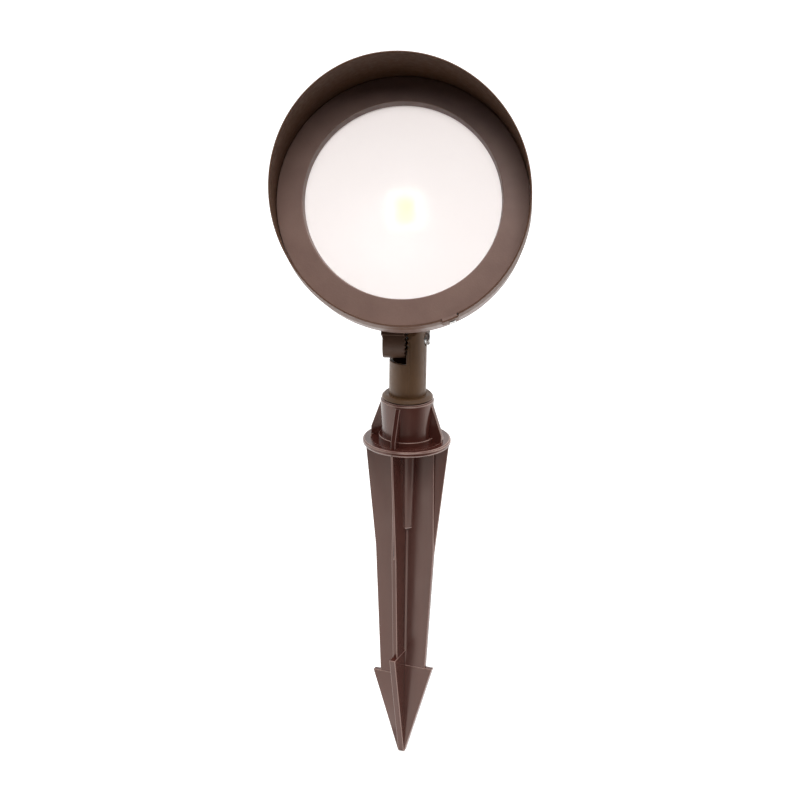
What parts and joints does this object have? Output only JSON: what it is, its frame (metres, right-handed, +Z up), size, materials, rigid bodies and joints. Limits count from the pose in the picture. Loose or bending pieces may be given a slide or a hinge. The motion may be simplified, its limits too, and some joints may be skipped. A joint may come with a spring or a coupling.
{
  "type": "flood light",
  "caption": "Garden flood light on a ground stake: swivelling post, toothed tilting knuckle, finned round head with a flat lens, and a slanted visor that turns on the bezel.",
  "frame": {"origin": "centre of the flange's underside, on the stake's axis, at ground level", "axes": "+Z up along the stake and the post, the beam leaves towards -Y, the knuckle's bolt lies along X"},
  "size_m": [0.1536, 0.145, 0.4682],
  "materials": {
    "stake_plastic": "glossy injection-moulded brown plastic",
    "bronze_cast": "dark bronze powder coat on die-cast aluminium",
    "bronze_visor": "dark bronze powder coat on spun aluminium",
    "bronze_stem": "olive bronze powder coat on die-cast aluminium",
    "steel": "bright zinc-plated steel",
    "lens_glass": "frosted tempered glass",
    "gasket_rubber": "black silicone",
    "reflector_metal": "anodised bright aluminium",
    "plate_metal": "plain aluminium",
    "led_ceramic": "white ceramic board",
    "led_phosphor": "yellow phosphor gel",
    "holder_plastic": "white moulded plastic",
    "driver_plastic": "black potted case",
    "lead_insulation": "silicone insulated wire"
  },
  "bodies": {
    "stake": {"ground_stake": "stake_plastic"},
    "stem": {"knuckle_stem": "bronze_stem", "lock_ring": "bronze_stem"},
    "visor": {"visor": "bronze_visor", "visor_shoe": "bronze_cast", "visor_screw": "steel"},
    "head": {"knuckle_arm": "bronze_cast", "arm_gasket": "gasket_rubber", "arm_screws": "steel", "pivot_bolt": "steel", "flat_washer": "steel", "spring_washer": "steel", "wire_grommet": "gasket_rubber", "housing": "bronze_cast", "bezel": "bronze_cast", "bezel_screws": "steel", "lens": "lens_glass", "lens_gasket": "gasket_rubber", "reflector": "reflector_metal", "led_plate": "plate_metal", "led_plate_screws": "steel", "led_board": "led_ceramic", "led_phosphor": "led_phosphor", "led_holder": "holder_plastic", "holder_screws": "steel", "led_leads": "lead_insulation", "driver": "driver_plastic", "driver_screws": "steel"}
  },
  "joints": [
    {"name": "stem_swivel", "type": "hinge", "parent": "stake", "child": "stem", "pos_m": [0, 0, 0.03], "axis": [0, 0, 1], "range_deg": [-180, 180]},
    {"name": "head_tilt", "type": "hinge", "parent": "stem", "child": "head", "pos_m": [0, 0, 0.0694], "axis": [-1, 0, 0], "range_deg": [-74, 61]},
    {"name": "visor_turn", "type": "hinge", "parent": "head", "child": "visor", "pos_m": [-0.0036, -0.01826, 0.16131], "axis": [0, -0.891, 0.454], "continuous": true}
  ]
}
